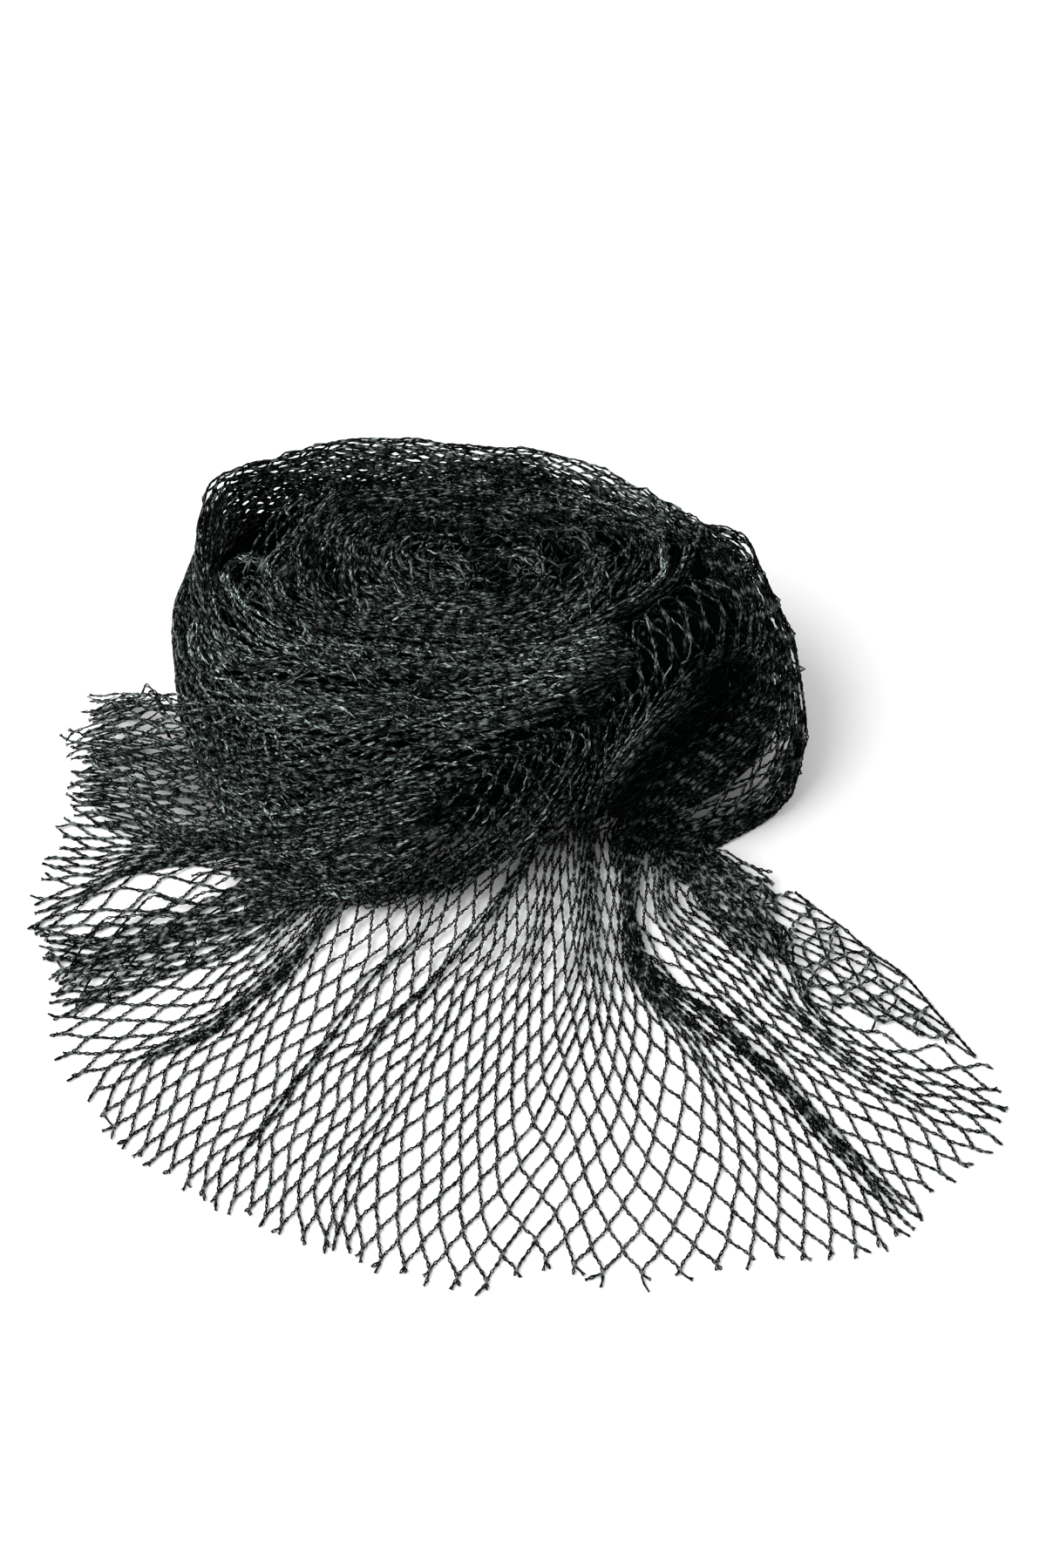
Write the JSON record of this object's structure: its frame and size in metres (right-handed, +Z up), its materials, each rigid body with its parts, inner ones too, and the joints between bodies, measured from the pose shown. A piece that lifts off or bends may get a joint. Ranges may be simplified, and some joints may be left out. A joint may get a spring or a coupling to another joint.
{
  "type": "bird netting",
  "caption": "Knotless diamond-mesh garden bird net, wound into a soft oval coil with its cut end fanned out on the floor.",
  "frame": {"origin": "on the floor, in the middle of the coil's flat underside", "axes": "+Z up; +X to the right of the picture; -Y towards the fanned end and the camera"},
  "size_m": [0.3287, 0.305, 0.082],
  "materials": {
    "net": "loosely twisted flat tapes, satin",
    "net_end": "loosely twisted flat tapes, satin"
  },
  "bodies": {
    "root": {"roll": "net", "loose_end": "net_end"}
  },
  "joints": []
}
